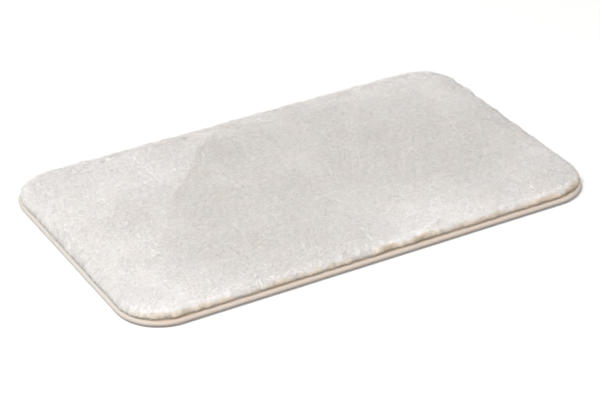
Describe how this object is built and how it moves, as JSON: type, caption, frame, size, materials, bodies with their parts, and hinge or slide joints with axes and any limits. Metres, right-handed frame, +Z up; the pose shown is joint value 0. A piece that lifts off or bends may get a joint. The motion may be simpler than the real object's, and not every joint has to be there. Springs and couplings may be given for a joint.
{
  "type": "bath mat",
  "caption": "Rectangular plush bath mat with rounded corners, a slim rolled binding round the edge, a foam core and an anti-slip dotted underside.",
  "frame": {"origin": "on the floor under the middle of the mat", "axes": "+X along the long side, +Y across the mat, +Z up, pile side up"},
  "size_m": [0.75, 0.45, 0.0236],
  "materials": {
    "plush": "dense short cream plush with a soft nap",
    "ground_knit": "fine warp knit",
    "foam": "open-cell foam",
    "backing": "plain knit",
    "grip_dots": "soft translucent printed dots",
    "binding": "smooth knitted tape, slight sheen",
    "thread": "spun polyester thread",
    "label": "blank satin ribbon"
  },
  "bodies": {
    "root": {"plush_pile": "plush", "ground_cloth": "ground_knit", "foam_core": "foam", "backing_cloth": "backing", "grip_dots": "grip_dots", "binding_tape": "binding", "needle_thread": "thread", "bobbin_thread": "thread", "care_label": "label"}
  },
  "joints": []
}
